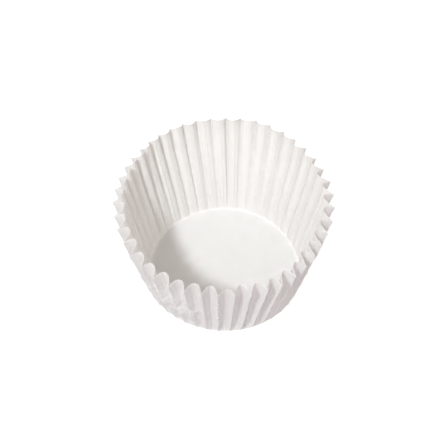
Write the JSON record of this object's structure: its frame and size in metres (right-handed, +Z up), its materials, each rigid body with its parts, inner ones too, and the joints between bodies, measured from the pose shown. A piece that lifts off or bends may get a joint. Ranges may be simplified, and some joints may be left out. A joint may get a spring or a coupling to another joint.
{
  "type": "fluted paper baking cup",
  "caption": "Round fluted paper cup for baking a small cake, with a flat floor, a soft bend and a flared wall of round lobes between sharp outward creases.",
  "frame": {"origin": "middle of the floor's underside, on the table that the cup stands on", "axes": "+Z up through the open mouth, +Y towards the back of the cup as the picture shows it, +X to its right"},
  "size_m": [0.069, 0.0679, 0.0381],
  "materials": {
    "greaseproof_paper": "white greaseproof paper, matt with a faint calendered sheen, slightly see-through"
  },
  "bodies": {
    "root": {"baking_cup": "greaseproof_paper"}
  },
  "joints": []
}
